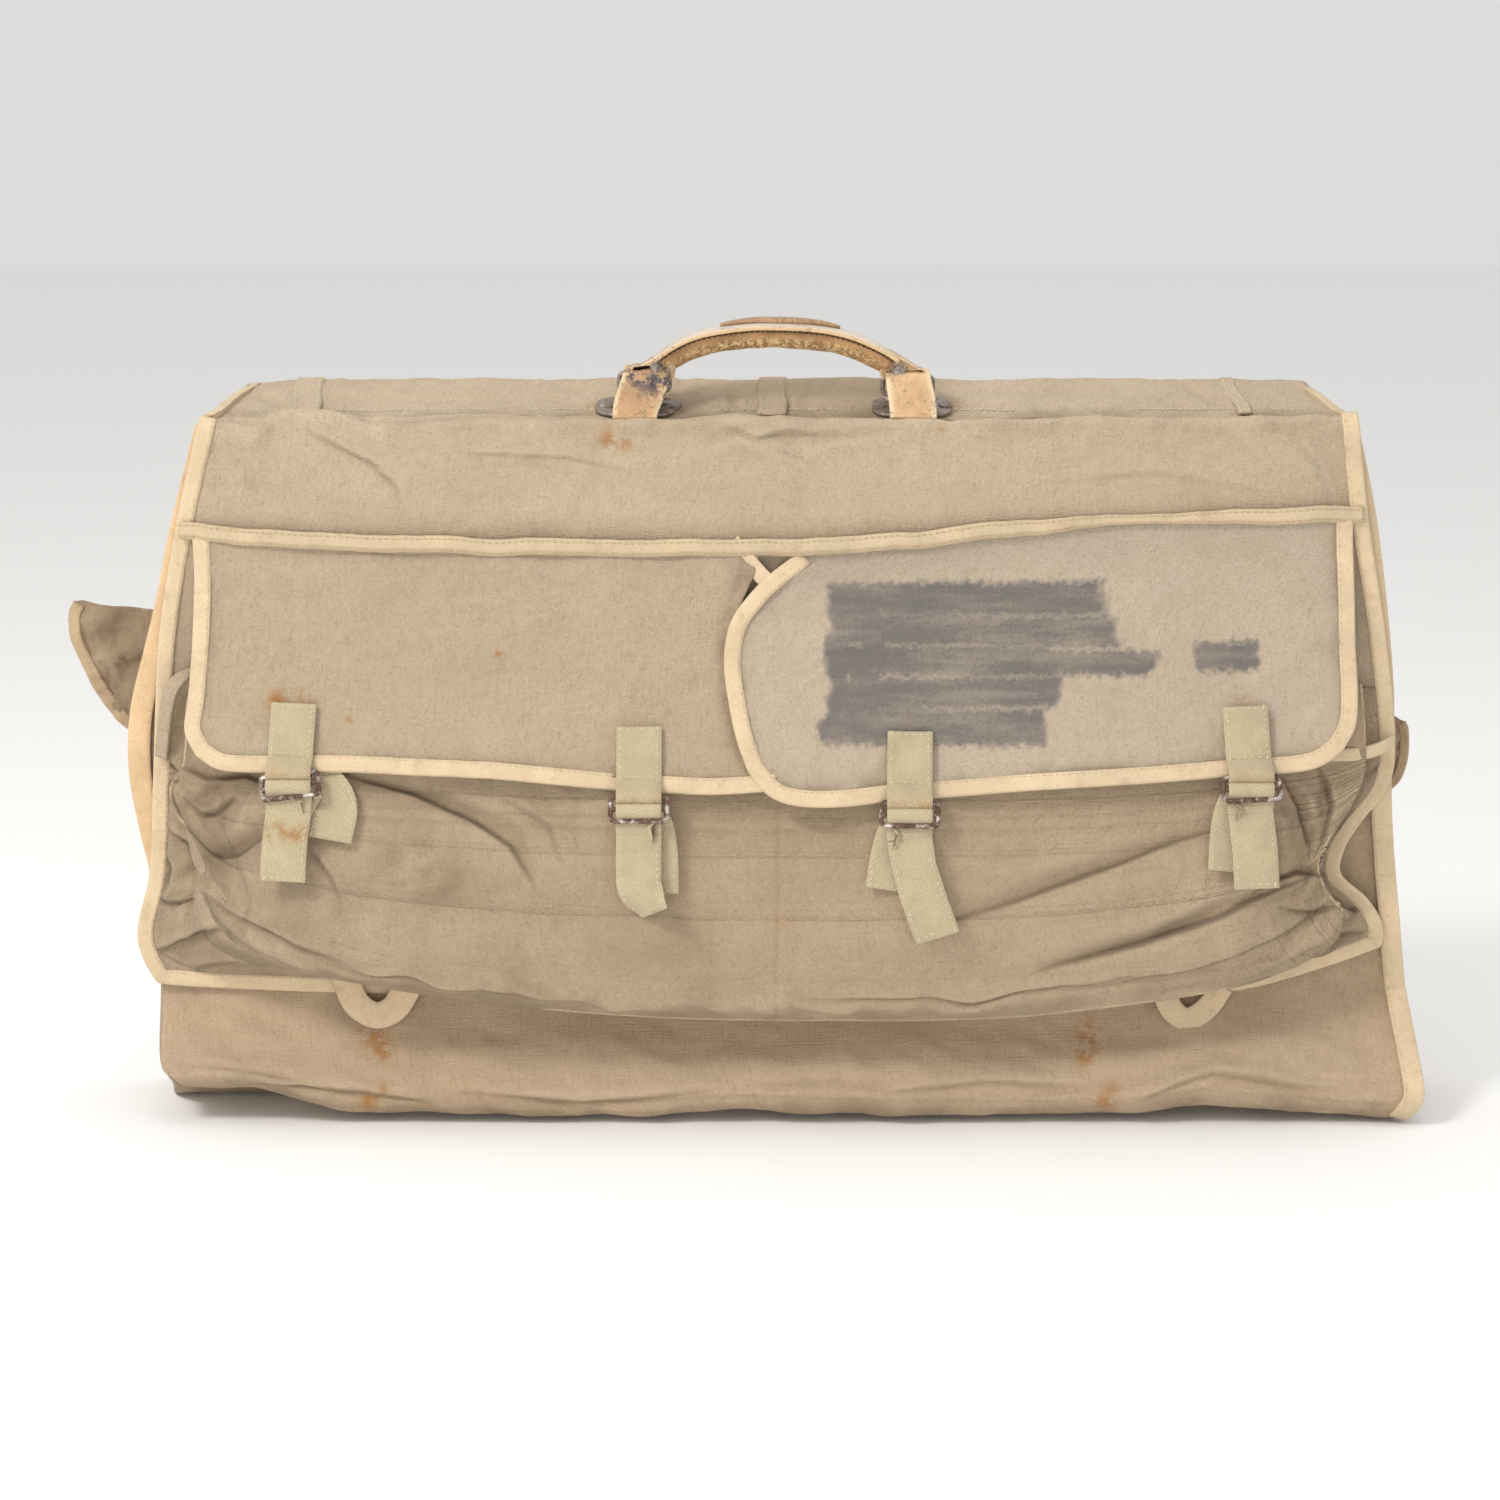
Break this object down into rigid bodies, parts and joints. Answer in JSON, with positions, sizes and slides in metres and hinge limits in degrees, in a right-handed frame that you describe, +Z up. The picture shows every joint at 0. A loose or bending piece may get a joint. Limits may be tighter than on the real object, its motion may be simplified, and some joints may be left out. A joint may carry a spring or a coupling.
{
  "type": "folding garment bag",
  "caption": "Folding canvas garment bag with stiffened spine, leather carrying handle, bellows pocket, buckled flaps and webbing straps.",
  "frame": {"origin": "middle of the flat base, on the surface the bag stands on", "axes": "+Z up to the carrying handle, -Y out of the pocket side, +X to the right seen from the pocket side"},
  "size_m": [0.776, 0.1236, 0.457],
  "materials": {
    "canvas": "faded khaki cotton duck, matt plain weave",
    "binding_tape": "cream herringbone tape, matt, lockstitched",
    "webbing": "pale olive one-inch cotton webbing, hem-stitched",
    "grip_leather": "worn brown leather, scuffed pale",
    "loop_leather": "dry tan leather, cracked",
    "plate_steel": "dull grey galvanised steel",
    "buckle_steel": "nickel-plated wire, rusted with bright nicks",
    "fibreboard": "raw brown fibreboard"
  },
  "bodies": {
    "rear_half": {"rear_panel": "canvas", "base_gusset": "canvas", "lower_retainer": "canvas", "rear_gusset_left": "canvas", "rear_gusset_right": "canvas", "rear_binding": "binding_tape", "hanger_bracket": "plate_steel", "garment_strap": "webbing"},
    "spine": {"spine_panel": "canvas", "spine_board": "fibreboard", "handle_plate_left": "plate_steel", "handle_plate_right": "plate_steel", "rivet_plate_left": "plate_steel", "rivet_plate_right": "plate_steel", "leather_loop_left": "loop_leather", "leather_loop_right": "loop_leather"},
    "front_half": {"front_panel": "canvas", "front_binding": "binding_tape", "waist_tape": "binding_tape", "pocket_front": "canvas", "pocket_bottom_gusset": "canvas", "pocket_gusset_left": "canvas", "pocket_gusset_right": "canvas", "tape_loop_left": "binding_tape", "tape_loop_right": "binding_tape", "pocket_strap_1": "webbing", "pocket_strap_2": "webbing", "pocket_strap_3": "webbing", "pocket_strap_4": "webbing"},
    "handle": {"handle_grip": "grip_leather", "handle_core": "plate_steel", "handle_top_strip": "grip_leather", "handle_ring_left": "plate_steel", "handle_ring_right": "plate_steel", "handle_boot_left": "grip_leather", "handle_boot_right": "grip_leather", "boot_rivet_left": "plate_steel", "boot_rivet_right": "plate_steel"},
    "left_flap": {"flap_left": "canvas", "flap_binding_left": "binding_tape", "buckle_tab_1": "webbing", "buckle_tab_2": "webbing"},
    "right_flap": {"flap_right": "canvas", "flap_binding_right": "binding_tape", "buckle_tab_3": "webbing", "buckle_tab_4": "webbing"},
    "left_wing": {"side_wing_left": "canvas"},
    "right_wing": {"side_wing_right": "canvas"},
    "hook": {"hanging_hook": "plate_steel"},
    "buckle_frame_1": {"buckle_1": "buckle_steel"},
    "tail_1": {"strap_tail_1": "webbing"},
    "buckle_frame_2": {"buckle_2": "buckle_steel"},
    "tail_2": {"strap_tail_2": "webbing"},
    "buckle_frame_3": {"buckle_3": "buckle_steel"},
    "tail_3": {"strap_tail_3": "webbing"},
    "buckle_frame_4": {"buckle_4": "buckle_steel"},
    "tail_4": {"strap_tail_4": "webbing"}
  },
  "joints": [
    {"name": "spine_fold", "type": "hinge", "parent": "rear_half", "child": "spine", "pos_m": [0, 0.0465, 0.413], "axis": [-1, 0, 0], "range_deg": [0, 80]},
    {"name": "front_half_fold", "type": "hinge", "parent": "spine", "child": "front_half", "pos_m": [0, -0.0105, 0.3975], "axis": [-1, 0, 0], "range_deg": [0, 110]},
    {"name": "handle_swing", "type": "hinge", "parent": "spine", "child": "handle", "pos_m": [0, 0.00176, 0.41395], "axis": [-1, 0, 0], "range_deg": [-75, 55]},
    {"name": "left_flap_lift", "type": "hinge", "parent": "front_half", "child": "left_flap", "pos_m": [-0.17, -0.0173, 0.3305], "axis": [-1, 0, 0], "range_deg": [0, 115]},
    {"name": "right_flap_lift", "type": "hinge", "parent": "front_half", "child": "right_flap", "pos_m": [0.15, -0.0173, 0.3305], "axis": [-1, 0, 0], "range_deg": [0, 115]},
    {"name": "buckle_1_swing", "type": "hinge", "parent": "left_flap", "child": "buckle_frame_1", "pos_m": [-0.273, -0.05466, 0.208], "axis": [-1, 0, 0], "range_deg": [0, 80]},
    {"name": "buckle_2_swing", "type": "hinge", "parent": "left_flap", "child": "buckle_frame_2", "pos_m": [-0.0775, -0.05979, 0.1955], "axis": [-1, 0, 0], "range_deg": [0, 80]},
    {"name": "buckle_3_swing", "type": "hinge", "parent": "right_flap", "child": "buckle_frame_3", "pos_m": [0.0735, -0.06082, 0.193], "axis": [-1, 0, 0], "range_deg": [0, 80]},
    {"name": "buckle_4_swing", "type": "hinge", "parent": "right_flap", "child": "buckle_frame_4", "pos_m": [0.264, -0.05528, 0.2065], "axis": [-1, 0, 0], "range_deg": [0, 80]},
    {"name": "strap_tail_1_lift", "type": "hinge", "parent": "front_half", "child": "tail_1", "pos_m": [-0.273, -0.05531, 0.1875], "axis": [-1, 0, 0], "range_deg": [0, 90]},
    {"name": "strap_tail_2_lift", "type": "hinge", "parent": "front_half", "child": "tail_2", "pos_m": [-0.0775, -0.05937, 0.175], "axis": [-1, 0, 0], "range_deg": [0, 90]},
    {"name": "strap_tail_3_lift", "type": "hinge", "parent": "front_half", "child": "tail_3", "pos_m": [0.0735, -0.06019, 0.1725], "axis": [-1, 0, 0], "range_deg": [0, 90]},
    {"name": "strap_tail_4_lift", "type": "hinge", "parent": "front_half", "child": "tail_4", "pos_m": [0.264, -0.0558, 0.186], "axis": [-1, 0, 0], "range_deg": [0, 90]},
    {"name": "left_wing_fold", "type": "hinge", "parent": "rear_half", "child": "left_wing", "pos_m": [-0.356, 0.046, 0.242], "axis": [0, 0, 1], "range_deg": [-80, 50]},
    {"name": "right_wing_fold", "type": "hinge", "parent": "rear_half", "child": "right_wing", "pos_m": [0.356, 0.046, 0.242], "axis": [0, 0, -1], "range_deg": [-80, 75]},
    {"name": "hook_swivel", "type": "hinge", "parent": "rear_half", "child": "hook", "pos_m": [0, 0.025, 0.391], "axis": [0, 0, 1], "range_deg": [-90, 90]}
  ]
}
